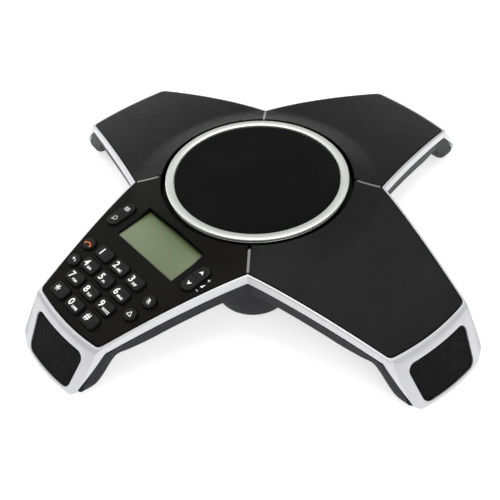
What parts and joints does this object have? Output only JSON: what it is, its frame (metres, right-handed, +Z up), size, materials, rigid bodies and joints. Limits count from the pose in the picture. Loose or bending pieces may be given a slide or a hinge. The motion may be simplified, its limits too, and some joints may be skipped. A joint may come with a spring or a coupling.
{
  "type": "conference speakerphone",
  "caption": "Four-armed conference speakerphone with a raised round speaker, a keypad arm with display, light strips in the seams, microphone windows in the toes and sockets in the pod below.",
  "frame": {"origin": "on the table under the centre of the speaker", "axes": "+Z up, the keypad arm along -Y towards its user, +X towards the right arm"},
  "size_m": [0.3672, 0.3672, 0.0615],
  "materials": {
    "silver_paint": "satin silver paint",
    "charcoal_plastic": "satin moulded plastic",
    "graphite_plastic": "matte moulded plastic",
    "ring_metal": "satin champagne silver",
    "speaker_cloth": "fine acoustic cloth",
    "mic_foam": "open acoustic foam",
    "light_pipe": "frosted light guide",
    "key_rubber": "matte with white print",
    "display_lens": "clear lens over a pale green display",
    "display_module": "display module",
    "circuit_board": "green laminate",
    "silicone_mat": "silicone",
    "steel": "plain",
    "ferrite": "ferrite",
    "cone_paper": "coated paper",
    "rubber": "soft black",
    "socket_plastic": "moulded black"
  },
  "bodies": {
    "base": {"upper_frame": "silver_paint", "bottom_shell": "graphite_plastic", "panel_right": "charcoal_plastic", "panel_rear": "charcoal_plastic", "panel_left": "charcoal_plastic", "keypad_panel": "charcoal_plastic", "speaker_ring": "ring_metal", "speaker_grille": "speaker_cloth", "speaker_gasket": "rubber", "speaker_basket": "steel", "speaker_magnet": "ferrite", "main_board": "circuit_board", "line_jack": "socket_plastic", "usb_port": "socket_plastic", "dc_jack": "socket_plastic", "lcd_window": "display_lens", "lcd_module": "display_module", "keypad_membrane": "silicone_mat", "keypad_board": "circuit_board", "light_strip_1": "light_pipe", "light_strip_2": "light_pipe", "light_strip_3": "light_pipe", "light_strip_4": "light_pipe", "case_screw_1": "steel", "case_screw_2": "steel", "case_screw_3": "steel", "case_screw_4": "steel", "mic_grille_right": "mic_foam", "mic_grille_rear": "mic_foam", "mic_grille_left": "mic_foam", "mic_grille_front": "mic_foam", "mic_capsule_right": "steel", "mic_capsule_rear": "steel", "mic_capsule_left": "steel", "mic_capsule_front": "steel", "rubber_foot_right": "rubber", "rubber_foot_rear": "rubber", "rubber_foot_left": "rubber", "rubber_foot_front": "rubber"},
    "cone": {"speaker_cone": "cone_paper"},
    "key_1_body": {"key_1": "key_rubber"},
    "key_2_body": {"key_2": "key_rubber"},
    "key_3_body": {"key_3": "key_rubber"},
    "key_4_body": {"key_4": "key_rubber"},
    "key_5_body": {"key_5": "key_rubber"},
    "key_6_body": {"key_6": "key_rubber"},
    "key_7_body": {"key_7": "key_rubber"},
    "key_8_body": {"key_8": "key_rubber"},
    "key_9_body": {"key_9": "key_rubber"},
    "key_star_body": {"key_star": "key_rubber"},
    "key_0_body": {"key_0": "key_rubber"},
    "key_hash_body": {"key_hash": "key_rubber"},
    "key_hook_body": {"key_hook": "key_rubber"},
    "key_flash_body": {"key_flash": "key_rubber"},
    "key_mute_body": {"key_mute": "key_rubber"},
    "key_conference_body": {"key_conference": "key_rubber"},
    "rocker_menu_body": {"rocker_menu": "key_rubber"},
    "rocker_volume_body": {"rocker_volume": "key_rubber"}
  },
  "joints": [
    {"name": "key_1_press", "type": "slide", "parent": "base", "child": "key_1_body", "axis": [0, -0.1941, 0.981], "range_m": [-0.0012, 0], "stiffness_N_per_m": 600},
    {"name": "key_2_press", "type": "slide", "parent": "base", "child": "key_2_body", "axis": [0, -0.1941, 0.981], "range_m": [-0.0012, 0], "stiffness_N_per_m": 600},
    {"name": "key_3_press", "type": "slide", "parent": "base", "child": "key_3_body", "axis": [0, -0.1941, 0.981], "range_m": [-0.0012, 0], "stiffness_N_per_m": 600},
    {"name": "key_4_press", "type": "slide", "parent": "base", "child": "key_4_body", "axis": [0, -0.2156, 0.9765], "range_m": [-0.0012, 0], "stiffness_N_per_m": 600},
    {"name": "key_5_press", "type": "slide", "parent": "base", "child": "key_5_body", "axis": [0, -0.2156, 0.9765], "range_m": [-0.0012, 0], "stiffness_N_per_m": 600},
    {"name": "key_6_press", "type": "slide", "parent": "base", "child": "key_6_body", "axis": [0, -0.2156, 0.9765], "range_m": [-0.0012, 0], "stiffness_N_per_m": 600},
    {"name": "key_7_press", "type": "slide", "parent": "base", "child": "key_7_body", "axis": [0, -0.235, 0.972], "range_m": [-0.0012, 0], "stiffness_N_per_m": 600},
    {"name": "key_8_press", "type": "slide", "parent": "base", "child": "key_8_body", "axis": [0, -0.235, 0.972], "range_m": [-0.0012, 0], "stiffness_N_per_m": 600},
    {"name": "key_9_press", "type": "slide", "parent": "base", "child": "key_9_body", "axis": [0, -0.235, 0.972], "range_m": [-0.0012, 0], "stiffness_N_per_m": 600},
    {"name": "key_star_press", "type": "slide", "parent": "base", "child": "key_star_body", "axis": [0, -0.2529, 0.9675], "range_m": [-0.0012, 0], "stiffness_N_per_m": 600},
    {"name": "key_0_press", "type": "slide", "parent": "base", "child": "key_0_body", "axis": [0, -0.2529, 0.9675], "range_m": [-0.0012, 0], "stiffness_N_per_m": 600},
    {"name": "key_hash_press", "type": "slide", "parent": "base", "child": "key_hash_body", "axis": [0, -0.2529, 0.9675], "range_m": [-0.0012, 0], "stiffness_N_per_m": 600},
    {"name": "key_hook_press", "type": "slide", "parent": "base", "child": "key_hook_body", "axis": [0, -0.1979, 0.9802], "range_m": [-0.0012, 0], "stiffness_N_per_m": 600},
    {"name": "key_flash_press", "type": "slide", "parent": "base", "child": "key_flash_body", "axis": [0, -0.2228, 0.9749], "range_m": [-0.0012, 0], "stiffness_N_per_m": 600},
    {"name": "key_mute_press", "type": "slide", "parent": "base", "child": "key_mute_body", "axis": [0, -0.1997, 0.9798], "range_m": [-0.0012, 0], "stiffness_N_per_m": 600},
    {"name": "key_conference_press", "type": "slide", "parent": "base", "child": "key_conference_body", "axis": [0, -0.2231, 0.9748], "range_m": [-0.0012, 0], "stiffness_N_per_m": 600},
    {"name": "rocker_menu_rock", "type": "hinge", "parent": "base", "child": "rocker_menu_body", "pos_m": [-0.0406, -0.08554, 0.0483], "axis": [1, 0, 0], "range_deg": [-3, 3], "stiffness_Nm_per_rad": 0.4},
    {"name": "rocker_volume_rock", "type": "hinge", "parent": "base", "child": "rocker_volume_body", "pos_m": [0.0406, -0.08554, 0.0483], "axis": [1, 0, 0], "range_deg": [-3, 3], "stiffness_Nm_per_rad": 0.4},
    {"name": "speaker_cone_travel", "type": "slide", "parent": "base", "child": "cone", "axis": [0, 0, 1], "range_m": [-0.001, 0.001], "stiffness_N_per_m": 2000}
  ]
}
